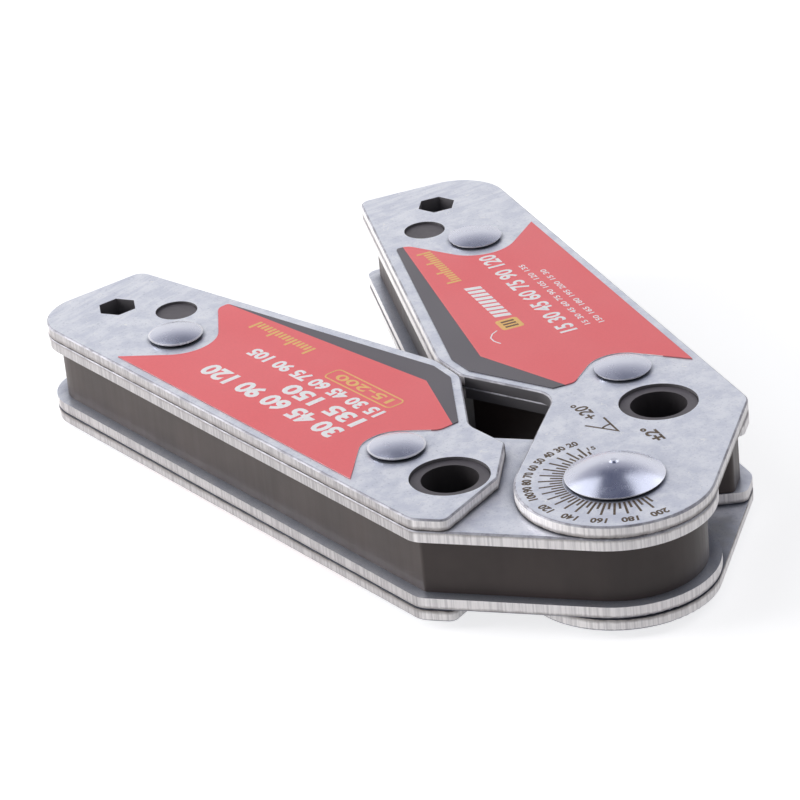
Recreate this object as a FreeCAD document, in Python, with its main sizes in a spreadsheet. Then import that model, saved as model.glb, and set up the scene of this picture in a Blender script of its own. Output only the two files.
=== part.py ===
"""Adjustable welding magnet holder: two hinged arms of steel plates, magnets and moulded cores.

Each arm has its own frame: U runs from the pivot to the tip, V runs from the pivot to the working
edge that grips the work, and W is measured from the middle plane of the arm.  The inner arm lies at
half the closing angle above +X.  The outer arm is the same arm turned over about U, below +X.  The
blanks that reach the pivot differ: core and inner plates on the inner arm, outer plates on the other.
"""
import math
import os

import FreeCAD
import Part
import Sketcher

Vector = FreeCAD.Vector

SIZES = {
    # Stack, measured through the arm.
    "plate_thickness": 2.0,
    "core_thickness": 9.6,
    "lug_clearance": 0.1,
    "head_reach": 10.2,
    # Outline of the plates: setbacks are distances from the pivot axis to an edge.
    "closed_angle": 15.8,
    "lug_radius": 15.4,
    "tongue_angle": 37.0,
    "working_rise": 13.8,
    "tip_reach": 119.0,
    "taper_angle": 10.8,
    "taper_setback": 16.9,
    "stop_gap": 0.2,
    "window_angle": 34.3,
    "window_setback": 20.3,
    "end_upper_angle": 71.0,
    "end_upper_gap": 1.3,
    "end_lower_angle": 45.0,
    "end_lower_gap": 2.6,
    "end_foot_setback": 3.7,
    # Corner radii of the plates.
    "tip_corner_radius": 9.0,
    "taper_corner_radius": 2.2,
    "stop_heel_radius": 6.0,
    "stop_toe_radius": 3.0,
    "notch_radius": 4.6,
    "shoulder_radius": 4.0,
    "end_corner_radius": 1.6,
    "end_toe_radius": 0.9,
    "rim_radius": 0.4,
    # Moulded core and the magnets in it.
    "core_inset": 1.95,
    "core_end_inset": 0.3,
    "core_corner_radius": 1.0,
    "magnet_width": 21.0,
    "magnet_wall": 2.75,
    "magnet_rivet_gap": 8.0,
    "magnet_spacing": 4.0,
    "magnet_clearance": 0.1,
    # Rivets, all on one line below the working edge.
    "rivet_depth": 12.65,
    "heel_rivet_pitch": 13.1,
    "tip_rivet_inset": 26.5,
    "rivet_shank_radius": 2.6,
    "rivet_head_radius": 4.6,
    "rivet_head_rim": 0.65,
    "rivet_head_undercut": 0.5,
    "rivet_clearance": 0.1,
    # Through bore, locating peg and hexagon.
    "bore_lead": 4.0,
    "bore_radius": 4.5,
    "sleeve_wall": 1.65,
    "sleeve_recess": 0.5,
    "peg_pitch": 8.5,
    "peg_drop": 6.0,
    "peg_radius": 3.4,
    "peg_recess": 0.4,
    "insert_clearance": 0.15,
    "core_fit": 0.03,
    "hex_inset": 9.0,
    "hex_flats": 5.9,
    # Pivot.
    "pivot_shank_radius": 3.5,
    "pivot_clearance": 0.05,
    "bush_wall": 1.65,
    "pivot_head_radius": 7.7,
    "pivot_head_rim": 0.6,
    "pivot_dome_height": 2.9,
    "pivot_tail_radius": 7.0,
    "pivot_pip_radius": 0.8,
    "pivot_pip_top_radius": 0.5,
    "pivot_pip_height": 0.25,
    # Printed labels.
    "label_thickness": 0.15,
    "label_margin": 1.6,
    "label_taper_margin": 2.1,
    "label_tip_relief": 2.5,
    "label_heel_relief": 1.4,
    "label_end_reach": 3.6,
    "label_flare_radius": 2.0,
    "label_corner_radius": 0.6,
}


class Size:
    """A number together with the spreadsheet expression that gives it."""

    def __init__(self, number, text):
        self.number = float(number)
        self.text = text

    def _joined(self, other, sign, number):
        return Size(number, f"({self.text} {sign} {as_size(other).text})")

    def __add__(self, other):
        return self._joined(other, "+", self.number + as_size(other).number)

    def __sub__(self, other):
        return self._joined(other, "-", self.number - as_size(other).number)

    def __mul__(self, other):
        return self._joined(other, "*", self.number * as_size(other).number)

    def __truediv__(self, other):
        return self._joined(other, "/", self.number / as_size(other).number)

    def __neg__(self):
        return Size(-self.number, f"(-{self.text})")


def as_size(value):
    """A plain number as a Size."""
    return value if isinstance(value, Size) else Size(value, repr(value))


def size(alias):
    """The named cell of the spreadsheet as a Size."""
    return Size(SIZES[alias], f"Sizes.{alias}")


def bind(item, name, value):
    """Tie a property of an object to the spreadsheet."""
    item.setExpression(name, as_size(value).text)


ZERO = Size(0.0, "0")
UNIT_DIAGONAL = Size(math.cos(math.radians(45)), "cos(45 deg)")
SWEEP_ALONG = Size(math.cos(math.radians(55)), "cos(55 deg)")
SWEEP_ACROSS = Size(math.sin(math.radians(55)), "sin(55 deg)")


def make_sheet(doc):
    """Spreadsheet with one named cell for each driving size."""
    sheet = doc.addObject("Spreadsheet::Sheet", "Sizes")
    for row, (alias, value) in enumerate(SIZES.items(), start=1):
        sheet.set(f"A{row}", alias)
        sheet.set(f"B{row}", repr(value))
        sheet.setAlias(f"B{row}", alias)
    doc.recompute()
    return sheet


# ---------------------------------------------------------------------------------------- outlines


class Edge:
    """A straight edge of an outline that is walked with the material on the left.

    turn is the direction of the walk in degrees.  setback is the distance from the pivot axis to
    the edge.  holds_pivot says that the axis lies on the material's side of the edge.
    """

    def __init__(self, turn, setback, holds_pivot):
        self.turn = as_size(turn)
        self.setback = setback
        self.holds_pivot = holds_pivot

    def moved_in(self, inset):
        """The same edge moved into the material."""
        setback = self.setback - inset if self.holds_pivot else self.setback + inset
        return Edge(self.turn, setback, self.holds_pivot)

    def line(self):
        """Outward normal and signed offset of the edge."""
        angle = math.radians(self.turn.number - 90)
        offset = self.setback.number if self.holds_pivot else -self.setback.number
        return math.cos(angle), math.sin(angle), offset


def corner(first, second):
    """Point where two edges meet."""
    first_x, first_y, first_offset = first.line()
    second_x, second_y, second_offset = second.line()
    spread = first_x * second_y - first_y * second_x
    x = (first_offset * second_y - second_offset * first_y) / spread
    y = (second_offset * first_x - first_offset * second_x) / spread
    return Vector(x, y, 0)


def working_edge():
    """Distance from the pivot axis to the edge that grips the work."""
    return size("lug_radius") + size("working_rise")


def plate_edges():
    """Edges of the plates by name."""
    lug = size("lug_radius")
    return {
        "inner_flank": Edge(size("tongue_angle"), lug, True),
        "window": Edge(-size("window_angle"), size("window_setback"), False),
        "stop": Edge(-size("closed_angle") / 2, size("stop_gap") / 2, False),
        "taper": Edge(size("taper_angle"), size("taper_setback"), True),
        "tip": Edge(90, size("tip_reach"), True),
        "working": Edge(180, working_edge(), True),
        "outer_flank": Edge(size("tongue_angle") - 180, lug, True),
        "end_upper": Edge(-size("end_upper_angle"), lug + size("end_upper_gap"), False),
        "end_lower": Edge(-size("end_lower_angle"), lug + size("end_lower_gap"), False),
        "end_foot": Edge(0, size("end_foot_setback"), False),
    }


LONG_WALK = ["inner_flank", "window", "stop", "taper", "tip", "working", "outer_flank"]
SHORT_WALK = ["end_upper", "end_lower", "end_foot"] + LONG_WALK[1:]
PLATE_CORNERS = {
    ("inner_flank", "window"): "notch_radius",
    ("end_foot", "window"): "notch_radius",
    ("window", "stop"): "stop_toe_radius",
    ("stop", "taper"): "stop_heel_radius",
    ("taper", "tip"): "taper_corner_radius",
    ("tip", "working"): "tip_corner_radius",
    ("working", "outer_flank"): "shoulder_radius",
    ("outer_flank", "end_upper"): "end_corner_radius",
    ("end_upper", "end_lower"): "end_corner_radius",
    ("end_lower", "end_foot"): "end_toe_radius",
}


def constrain(sketch, value, *constraint):
    """Add a constraint whose value comes from the spreadsheet."""
    index = sketch.addConstraint(Sketcher.Constraint(*constraint, value.number))
    sketch.setExpression(f"Constraints[{index}]", value.text)


def flat_sketch(body, name, level=ZERO):
    """Sketch parallel to the body's own XY plane, level above it."""
    sketch = body.newObject("Sketcher::SketchObject", name)
    plane = [item for item in body.Origin.OriginFeatures if item.Role == "XY_Plane"][0]
    sketch.AttachmentSupport = [(plane, "")]
    sketch.MapMode = "FlatFace"
    bind(sketch, "AttachmentOffset.Base.z", level)
    return sketch


def draw_outline(sketch, edges, lug_radius=None):
    """Draw a closed walk of straight edges, ended by a round lug at the pivot if it has one."""
    count = len(edges)
    starts = [corner(edges[index - 1], edges[index]) for index in range(count)]
    ends = starts[1:] + starts[:1]
    if lug_radius is not None:
        across = math.radians(edges[0].turn.number - 90)
        starts[0] = Vector(math.cos(across), math.sin(across), 0) * lug_radius.number
        ends[-1] = -starts[0]
    for start, end in zip(starts, ends):
        sketch.addGeometry(Part.LineSegment(start, end), False)
    for index in range(count - 1):
        sketch.addConstraint(Sketcher.Constraint("Coincident", index, 2, index + 1, 1))
    if lug_radius is None:
        sketch.addConstraint(Sketcher.Constraint("Coincident", count - 1, 2, 0, 1))
    else:
        circle = Part.Circle(Vector(0, 0, 0), Vector(0, 0, 1), lug_radius.number)
        sketch.addGeometry(Part.ArcOfCircle(circle, across + math.pi, across + 2 * math.pi), False)
        sketch.addConstraint(Sketcher.Constraint("Coincident", count, 3, -1, 1))
        sketch.addConstraint(Sketcher.Constraint("Tangent", count - 1, 2, count, 1))
        sketch.addConstraint(Sketcher.Constraint("Tangent", 0, 1, count, 2))
        constrain(sketch, lug_radius, "Radius", count)
    for index, edge in enumerate(edges):
        hold_turn(sketch, index, edge.turn)
        touches_lug = lug_radius is not None and index in (0, count - 1)
        if not touches_lug:
            constrain(sketch, edge.setback, "Distance", -1, 1, index)


def hold_turn(sketch, line, turn):
    """Hold the direction of a line."""
    if turn.number in (0, 180):
        sketch.addConstraint(Sketcher.Constraint("Horizontal", line))
    elif turn.number in (90, -90):
        sketch.addConstraint(Sketcher.Constraint("Vertical", line))
    else:
        angle = math.radians(turn.number)
        index = sketch.addConstraint(Sketcher.Constraint("Angle", line, angle))
        sketch.setExpression(f"Constraints[{index}]", turn.text)


def draw_circles(sketch, circles):
    """Draw circles, each a centre across, a centre along and a radius."""
    for across, along, radius in circles:
        circle = Part.Circle(
            Vector(across.number, along.number, 0), Vector(0, 0, 1), radius.number)
        index = sketch.addGeometry(circle, False)
        if across.number == 0 and along.number == 0:
            sketch.addConstraint(Sketcher.Constraint("Coincident", index, 3, -1, 1))
        else:
            constrain(sketch, across, "DistanceX", -1, 1, index, 3)
            constrain(sketch, along, "DistanceY", -1, 1, index, 3)
        constrain(sketch, radius, "Radius", index)


def draw_hexagon(sketch, across, along, flats):
    """Draw a hexagon that has a corner towards the working edge."""
    radius = flats / 2 / Size(math.cos(math.radians(30)), "cos(30 deg)")
    centre = Vector(across.number, along.number, 0)
    guide = sketch.addGeometry(Part.Circle(centre, Vector(0, 0, 1), radius.number), True)
    constrain(sketch, across, "DistanceX", -1, 1, guide, 3)
    constrain(sketch, along, "DistanceY", -1, 1, guide, 3)
    constrain(sketch, radius, "Radius", guide)
    points = []
    for step in range(6):
        angle = math.radians(90 + 60 * step)
        points.append(centre + Vector(math.cos(angle), math.sin(angle), 0) * radius.number)
    sides = []
    for start, end in zip(points, points[1:] + points[:1]):
        sides.append(sketch.addGeometry(Part.LineSegment(start, end), False))
    for side, following in zip(sides, sides[1:] + sides[:1]):
        sketch.addConstraint(Sketcher.Constraint("Coincident", side, 2, following, 1))
        sketch.addConstraint(Sketcher.Constraint("PointOnObject", side, 1, guide))
    for side in sides[1:]:
        sketch.addConstraint(Sketcher.Constraint("Equal", sides[0], side))
    sketch.addConstraint(Sketcher.Constraint("Vertical", sides[1]))


# ---------------------------------------------------------------------------------------- features


def make_body(doc, name):
    """Empty body whose label names its file."""
    body = doc.addObject("PartDesign::Body", name)
    body.Label = name
    return body


def add_pad(body, sketch, length, downward=False, both_ways=False):
    """Pad a sketch."""
    pad = body.newObject("PartDesign::Pad", "Pad")
    pad.Profile = sketch
    bind(pad, "Length", length)
    pad.Reversed = downward
    pad.Midplane = both_ways
    body.Document.recompute()
    return pad


def add_cut(body, sketch):
    """Cut a sketch through the whole body, both ways."""
    before = body.Tip.Shape.Volume
    cut = body.newObject("PartDesign::Pocket", "Cut")
    cut.Profile = sketch
    cut.Type = "ThroughAll"
    cut.Midplane = True
    body.Document.recompute()
    if cut.Shape.Volume >= before:
        raise RuntimeError(f"{body.Label}: the cut removes nothing")
    return cut


def add_fillet(body, edge_names, radius):
    """Round the named edges of the body's last feature."""
    base = body.Tip
    fillet = body.newObject("PartDesign::Fillet", "Fillet")
    fillet.Base = (base, edge_names)
    bind(fillet, "Radius", radius)
    body.Document.recompute()
    return fillet


def edges_where(shape, wanted):
    """Names of the edges of a shape that pass a test."""
    return [f"Edge{number}" for number, edge in enumerate(shape.Edges, start=1) if wanted(edge)]


def upright_edges(shape, place):
    """Names of the upright edges at a place in plan."""
    def wanted(edge):
        ends = [vertex.Point for vertex in edge.Vertexes]
        return all(math.hypot(end.x - place.x, end.y - place.y) < 1e-4 for end in ends)
    return edges_where(shape, wanted)


def level_edges(shape, level):
    """Names of the edges that lie wholly at one level."""
    def wanted(edge):
        return all(abs(vertex.Point.z - level) < 1e-6 for vertex in edge.Vertexes)
    return edges_where(shape, wanted)


def round_corners(body, walk, edges, radii):
    """Round the upright corners of an outline."""
    for index, name in enumerate(walk):
        pair = (walk[index - 1], name)
        if pair in radii:
            place = corner(edges[index - 1], edges[index])
            add_fillet(body, upright_edges(body.Tip.Shape, place), radii[pair])


# ---------------------------------------------------------------------------------------- pieces


class Arm:
    """What differs between the two arms."""

    def __init__(self, name, turned_over):
        self.name = name
        self.turned_over = turned_over
        clearance = size("lug_clearance") if turned_over else ZERO
        self.core_half = size("core_thickness") / 2 + clearance
        self.inner_face = self.core_half + size("plate_thickness")
        self.outer_face = self.inner_face + size("plate_thickness")
        self.core_is_long = not turned_over

    def node(self, piece):
        """Name of one of the arm's pieces."""
        return f"{self.name}_{piece}"

    def side(self, upper):
        """True when the side that ends up on top is upward in the arm's own frame."""
        return upper != self.turned_over


def place_in_arm(item, arm):
    """Put a piece that is drawn in the arm's frame where the arm lies."""
    half = size("closed_angle").number / 2
    turn = FreeCAD.Rotation(Vector(0, 0, 1), -half if arm.turned_over else half)
    if arm.turned_over:
        turn = turn.multiply(FreeCAD.Rotation(Vector(1, 0, 0), 180))
    item.Placement = FreeCAD.Placement(Vector(0, 0, 0), turn)
    bind(item, "Placement.Base.z", size("head_reach"))


def places():
    """Centres of what goes through an arm: reach along it and line across it."""
    line = working_edge() - size("rivet_depth")
    bore_reach = size("lug_radius") + size("bore_lead")
    tip_rivet_reach = size("tip_reach") - size("tip_rivet_inset")
    return {
        "bore": (bore_reach, line),
        "heel_rivet": (bore_reach + size("heel_rivet_pitch"), line),
        "tip_rivet": (tip_rivet_reach, line),
        "peg": (tip_rivet_reach + size("peg_pitch"), line - size("peg_drop")),
        "hexagon": (size("tip_reach") - size("hex_inset"), line),
    }


def sleeve_radius():
    """Outside of the bore sleeve."""
    return size("bore_radius") + size("sleeve_wall")


def bush_bore():
    """Inside of the pivot bush."""
    return size("pivot_shank_radius") + size("pivot_clearance")


def bush_radius():
    """Outside of the pivot bush."""
    return bush_bore() + size("bush_wall")


def insert_holes(gap):
    """Round holes that every layer of an arm has, each with the insert's clearance."""
    centres = places()
    rivet_hole = size("rivet_shank_radius") + size("rivet_clearance")
    return [
        (*centres["heel_rivet"], rivet_hole),
        (*centres["tip_rivet"], rivet_hole),
        (*centres["bore"], sleeve_radius() + gap),
        (*centres["peg"], size("peg_radius") + gap),
    ]


def cut_holes(body, gap, pivot_hole):
    """Cut the holes of one layer."""
    sketch = flat_sketch(body, "Holes")
    circles = insert_holes(gap)
    if pivot_hole is not None:
        circles.append((ZERO, ZERO, pivot_hole))
    draw_circles(sketch, circles)
    draw_hexagon(sketch, *places()["hexagon"], size("hex_flats"))
    add_cut(body, sketch)


def blank_edges(walk, inset, end_inset):
    """Edges of a blank, moved in from the plate's edges."""
    named = plate_edges()
    edges = []
    for name in walk:
        edges.append(named[name].moved_in(end_inset if name.startswith("end_") else inset))
    return edges


def make_plate(doc, arm, piece, is_long, base, upper, pivot_hole):
    """One sheet-steel plate, with its rim rounded on the side away from the core."""
    body = make_body(doc, arm.node(piece))
    walk = LONG_WALK if is_long else SHORT_WALK
    edges = blank_edges(walk, ZERO, ZERO)
    upward = arm.side(upper)
    sketch = flat_sketch(body, "Outline", base if upward else -base)
    draw_outline(sketch, edges, size("lug_radius") if is_long else None)
    add_pad(body, sketch, size("plate_thickness"), downward=not upward)
    round_corners(body, walk, edges, {pair: size(name) for pair, name in PLATE_CORNERS.items()})
    far_face = base.number + size("plate_thickness").number
    rim = level_edges(body.Tip.Shape, far_face if upward else -far_face)
    add_fillet(body, rim, size("rim_radius"))
    cut_holes(body, size("insert_clearance"), pivot_hole)
    place_in_arm(body, arm)
    return body


def magnet_blocks():
    """Start, foot, length and width of each magnet: they share the room between the rivets."""
    heel_reach = places()["heel_rivet"][0]
    tip_reach = places()["tip_rivet"][0]
    start = heel_reach + size("magnet_rivet_gap")
    room = tip_reach - size("magnet_rivet_gap") - start
    length = (room - size("magnet_spacing")) / 2
    width = size("magnet_width")
    foot = working_edge() - size("core_inset") - size("magnet_wall") - width
    return {
        "heel": (start, foot, length, width),
        "tip": (start + length + size("magnet_spacing"), foot, length, width),
    }


def make_core(doc, arm):
    """Moulded core with a window for each magnet."""
    body = make_body(doc, arm.node("core"))
    walk = LONG_WALK if arm.core_is_long else SHORT_WALK
    inset = size("core_inset")
    edges = blank_edges(walk, inset, size("core_end_inset"))
    sketch = flat_sketch(body, "Outline")
    draw_outline(sketch, edges, size("lug_radius") - inset if arm.core_is_long else None)
    add_pad(body, sketch, arm.core_half * 2, both_ways=True)
    radii = {
        ("inner_flank", "window"): size("notch_radius") + inset,
        ("tip", "working"): size("tip_corner_radius") - inset,
        ("taper", "tip"): size("core_corner_radius"),
        ("outer_flank", "end_upper"): size("core_corner_radius"),
        ("working", "outer_flank"): size("core_corner_radius"),
    }
    round_corners(body, walk, edges, radii)
    cut_holes(body, size("core_fit"), bush_radius() if arm.core_is_long else None)
    windows = flat_sketch(body, "MagnetWindows")
    gap = size("magnet_clearance")
    for start, foot, length, width in magnet_blocks().values():
        draw_rectangle(windows, start - gap, foot - gap, length + gap * 2, width + gap * 2)
    add_cut(body, windows)
    place_in_arm(body, arm)
    return body


def draw_rectangle(sketch, left, foot, length, width):
    """Draw a rectangle from its lower left corner."""
    right = left + length
    top = foot + width
    points = [(left, foot), (right, foot), (right, top), (left, top)]
    corners = [Vector(x.number, y.number, 0) for x, y in points]
    sides = []
    for start, end in zip(corners, corners[1:] + corners[:1]):
        sides.append(sketch.addGeometry(Part.LineSegment(start, end), False))
    for side, following in zip(sides, sides[1:] + sides[:1]):
        sketch.addConstraint(Sketcher.Constraint("Coincident", side, 2, following, 1))
    for side in (sides[0], sides[2]):
        sketch.addConstraint(Sketcher.Constraint("Horizontal", side))
    for side in (sides[1], sides[3]):
        sketch.addConstraint(Sketcher.Constraint("Vertical", side))
    constrain(sketch, left, "DistanceX", -1, 1, sides[0], 1)
    constrain(sketch, foot, "DistanceY", -1, 1, sides[0], 1)
    constrain(sketch, length, "DistanceX", sides[0], 1, sides[0], 2)
    constrain(sketch, width, "DistanceY", sides[1], 1, sides[1], 2)


def make_magnet(doc, arm, end, block):
    """Magnet block that fills its window between the inner plates."""
    body = make_body(doc, arm.node(f"{end}_magnet"))
    sketch = flat_sketch(body, "Block")
    draw_rectangle(sketch, *block)
    add_pad(body, sketch, arm.core_half * 2, both_ways=True)
    place_in_arm(body, arm)
    return body


def make_round(doc, arm, piece, centre, radius, bore_radius, length):
    """Round piece through the arm, even about the middle plane, with or without a bore."""
    body = make_body(doc, arm.node(piece))
    sketch = flat_sketch(body, "Section")
    circles = [(*centre, radius)]
    if bore_radius is not None:
        circles.append((*centre, bore_radius))
    draw_circles(sketch, circles)
    add_pad(body, sketch, length, both_ways=True)
    place_in_arm(body, arm)
    return body


def draw_profile(sketch, points, arcs):
    """Draw a closed half section whose first side runs down the axis of the sketch.

    points are pairs of Sizes, walked with the material on the left.  arcs gives the bulge of a
    side as the rise from its inner end to its outer end, for a dome centred on the axis.
    """
    corners = [Vector(x.number, y.number, 0) for x, y in points]
    count = len(points)
    for index, start in enumerate(corners):
        end = corners[(index + 1) % count]
        if index in arcs:
            sketch.addGeometry(dome_arc(start, end), False)
        else:
            sketch.addGeometry(Part.LineSegment(start, end), False)
    for index in range(count):
        following = (index + 1) % count
        end = arc_ends(corners, index, arcs)[1]
        start = arc_ends(corners, following, arcs)[0]
        sketch.addConstraint(Sketcher.Constraint("Coincident", index, end, following, start))
    for index, (x, y) in enumerate(points):
        start = arc_ends(corners, index, arcs)[0]
        if x.number == 0:
            sketch.addConstraint(Sketcher.Constraint("PointOnObject", index, start, -2))
        else:
            constrain(sketch, x, "DistanceX", -1, 1, index, start)
        constrain(sketch, y, "DistanceY", -1, 1, index, start)
    for index in arcs:
        sketch.addConstraint(Sketcher.Constraint("PointOnObject", index, 3, -2))


def dome_arc(start, end):
    """Arc between two points whose centre lies on the axis of the sketch."""
    height = (end.x ** 2 - start.x ** 2 + end.y ** 2 - start.y ** 2) / (2 * (end.y - start.y))
    centre = Vector(0, height, 0)
    radius = (start - centre).Length
    turns = [math.atan2(point.y - height, point.x) for point in (start, end)]
    circle = Part.Circle(centre, Vector(0, 0, 1), radius)
    return Part.ArcOfCircle(circle, min(turns), max(turns))


def arc_ends(corners, index, arcs):
    """Which ends of a side, as the sketch counts them, are its start and its end."""
    if index not in arcs:
        return 1, 2
    start = corners[index]
    end = corners[(index + 1) % len(corners)]
    return (1, 2) if end.y > start.y else (2, 1)


def make_turned(doc, name, points, arcs, centre=None):
    """Turned piece from half a section, with its axis upright at a place in the arm."""
    body = make_body(doc, name)
    sketch = body.newObject("Sketcher::SketchObject", "Section")
    plane = [item for item in body.Origin.OriginFeatures if item.Role == "XZ_Plane"][0]
    sketch.AttachmentSupport = [(plane, "")]
    sketch.MapMode = "FlatFace"
    if centre is not None:
        bind(sketch, "AttachmentOffset.Base.x", centre[0])
        bind(sketch, "AttachmentOffset.Base.z", -centre[1])
    draw_profile(sketch, points, arcs)
    doc.recompute()
    turned = body.newObject("PartDesign::Revolution", "Turned")
    turned.Profile = sketch
    turned.ReferenceAxis = (sketch, ["V_Axis"])
    turned.Angle = 360
    doc.recompute()
    return body


def make_rivet(doc, arm, end):
    """Domed rivet through all the layers of an arm, headed on both faces."""
    shank = size("rivet_shank_radius")
    head = size("rivet_head_radius")
    seat = head - size("rivet_head_undercut")
    face = arm.outer_face
    rim = face + size("rivet_head_rim")
    top = size("head_reach")
    points = [
        (ZERO, top),
        (ZERO, -top),
        (head, -rim),
        (seat, -face),
        (shank, -face),
        (shank, face),
        (seat, face),
        (head, rim),
    ]
    name = f"{end}_rivet"
    body = make_turned(doc, arm.node(name), points, (1, 7), places()[name])
    place_in_arm(body, arm)
    return body


def make_pivot_rivet(doc, arm):
    """Rivet that holds the arms together: domed head above, flat tail below to stand on."""
    shank = size("pivot_shank_radius")
    head = size("pivot_head_radius")
    seat = head - size("rivet_head_undercut")
    tail = size("pivot_tail_radius")
    pip = size("pivot_pip_radius")
    face = arm.outer_face
    dome = face + size("pivot_dome_height")
    standing = -size("head_reach")
    points = [
        (ZERO, dome + size("pivot_pip_height")),
        (ZERO, standing),
        (tail, standing),
        (tail, -face),
        (shank, -face),
        (shank, face),
        (seat, face),
        (head, face + size("pivot_head_rim")),
        (pip, dome),
        (size("pivot_pip_top_radius"), dome + size("pivot_pip_height")),
    ]
    body = make_turned(doc, "pivot_rivet", points, (7,))
    bind(body, "Placement.Base.z", size("head_reach"))
    return body


def rivet_rings():
    """Radius of the bare ring that a label leaves round each rivet's centre."""
    head = size("rivet_head_radius")
    return {"heel": head + size("label_heel_relief"), "tip": head + size("label_tip_relief")}


LABEL_WALK = ["working", "heel_upper", "heel_lower", "heel_end", "window", "stop", "taper",
              "tip_end", "tip_lower", "tip_upper"]


def label_edges():
    """Edges of a label: even margins at the plate's edges, tangents to the rings of the rivets."""
    named = plate_edges()
    margin = size("label_margin")
    heel_reach, line = places()["heel_rivet"]
    tip_reach = places()["tip_rivet"][0]
    rings = rivet_rings()
    return [
        named["working"].moved_in(margin),
        Edge(-45, (heel_reach + line) * UNIT_DIAGONAL + rings["heel"], False),
        Edge(-135, (heel_reach - line) * UNIT_DIAGONAL + rings["heel"], False),
        Edge(-90, heel_reach, False),
        named["window"].moved_in(margin),
        named["stop"].moved_in(margin),
        named["taper"].moved_in(size("label_taper_margin")),
        Edge(90, tip_reach + size("label_end_reach"), True),
        Edge(145, tip_reach * SWEEP_ALONG + line * SWEEP_ACROSS - rings["tip"], True),
        Edge(45, (tip_reach - line) * UNIT_DIAGONAL - rings["tip"], True),
    ]


def make_label(doc, arm, piece, upper):
    """Printed label on the outer plate, cut away round both rivets."""
    body = make_body(doc, arm.node(piece))
    edges = label_edges()
    rings = rivet_rings()
    upward = arm.side(upper)
    sketch = flat_sketch(body, "Outline", arm.outer_face if upward else -arm.outer_face)
    draw_outline(sketch, edges)
    add_pad(body, sketch, size("label_thickness"), downward=not upward)
    round_corners(body, LABEL_WALK, edges, {
        ("heel_upper", "heel_lower"): rings["heel"],
        ("heel_lower", "heel_end"): size("label_flare_radius"),
        ("taper", "tip_end"): size("label_corner_radius"),
        ("tip_end", "tip_lower"): size("label_flare_radius"),
        ("tip_lower", "tip_upper"): rings["tip"],
    })
    place_in_arm(body, arm)
    return body


def make_arm(doc, arm):
    """All pieces of one arm."""
    bush_hole = bush_radius() if arm.core_is_long else None
    shank_hole = None if arm.core_is_long else size("pivot_shank_radius")
    sleeve_length = (arm.outer_face - size("sleeve_recess")) * 2
    peg_length = (arm.outer_face - size("peg_recess")) * 2
    centres = places()
    pieces = [make_core(doc, arm)]
    for end, block in magnet_blocks().items():
        pieces.append(make_magnet(doc, arm, end, block))
    for side, upper in (("top", True), ("bottom", False)):
        pieces.append(make_plate(doc, arm, f"inner_plate_{side}", arm.core_is_long,
                                 arm.core_half, upper, bush_hole))
        pieces.append(make_plate(doc, arm, f"outer_plate_{side}", not arm.core_is_long,
                                 arm.inner_face, upper, shank_hole))
        pieces.append(make_label(doc, arm, f"label_{side}", upper))
    for end in ("heel", "tip"):
        pieces.append(make_rivet(doc, arm, end))
    pieces.append(make_round(doc, arm, "bore_sleeve", centres["bore"], sleeve_radius(),
                             size("bore_radius"), sleeve_length))
    pieces.append(make_round(doc, arm, "locating_peg", centres["peg"], size("peg_radius"),
                             None, peg_length))
    return pieces


def check_document(doc, pieces):
    """Stop if any feature failed or any piece is not one sound solid."""
    for item in doc.Objects:
        if "Invalid" in item.State or "Error" in item.State:
            raise RuntimeError(f"{item.Name} is {item.State}")
    for piece in pieces:
        shape = piece.Shape
        if shape.isNull() or not shape.isValid() or len(shape.Solids) != 1:
            raise RuntimeError(f"{piece.Label} is not one sound solid")


def main():
    """Build the model and write one STEP file for each piece."""
    doc = FreeCAD.newDocument("MagnetHolder")
    make_sheet(doc)
    inner = Arm("inner_arm", turned_over=False)
    outer = Arm("outer_arm", turned_over=True)
    pieces = make_arm(doc, inner) + make_arm(doc, outer)
    pieces.append(make_round(doc, inner, "pivot_bush", (ZERO, ZERO), bush_radius(),
                             bush_bore(), inner.inner_face * 2))
    pieces.append(make_pivot_rivet(doc, outer))
    doc.recompute()
    check_document(doc, pieces)
    os.makedirs("parts", exist_ok=True)
    for piece in pieces:
        piece.Shape.exportStep(f"parts/{piece.Label}.step")


main()
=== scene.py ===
"""Welding magnet holder: two hinged magnetic arms of zinc-plated sheet, dressed, printed and lit.

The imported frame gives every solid. This script gives the solids their finishes, lays the etched
dial and the label print on them, and sets up the studio. Sizes in the classes are millimetres
unless a name says otherwise; meshes are in metres.
"""
from __future__ import annotations

import logging
from dataclasses import dataclass
from enum import Enum
from functools import reduce

import bpy
import numpy as np
from mathutils import Matrix, Vector


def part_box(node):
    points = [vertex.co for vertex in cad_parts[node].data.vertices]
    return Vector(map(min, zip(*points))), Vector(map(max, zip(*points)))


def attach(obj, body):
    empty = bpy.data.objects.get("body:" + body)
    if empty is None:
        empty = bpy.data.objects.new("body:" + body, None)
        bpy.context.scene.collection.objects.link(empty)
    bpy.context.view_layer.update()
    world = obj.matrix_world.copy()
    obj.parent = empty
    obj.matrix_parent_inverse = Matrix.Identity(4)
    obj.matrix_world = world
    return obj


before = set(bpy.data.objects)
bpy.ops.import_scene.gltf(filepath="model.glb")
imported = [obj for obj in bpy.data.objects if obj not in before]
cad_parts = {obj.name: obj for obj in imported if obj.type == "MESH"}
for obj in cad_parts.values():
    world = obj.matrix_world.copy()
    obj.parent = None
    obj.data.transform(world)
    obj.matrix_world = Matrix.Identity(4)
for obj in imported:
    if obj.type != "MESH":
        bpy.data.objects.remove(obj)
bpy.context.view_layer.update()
LOG = logging.getLogger("magnet_holder")
MM = 0.001  # metres in a millimetre
MIDDLE = 10.2  # level of the middle plane of the arms, millimetres
Pair = tuple[float, float]
Triple = tuple[float, float, float]
Colour = Triple
Socket = bpy.types.NodeSocket
Material = bpy.types.Material
Value = Socket | float | Triple
WHITE = (1.0, 1.0, 1.0)


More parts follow.
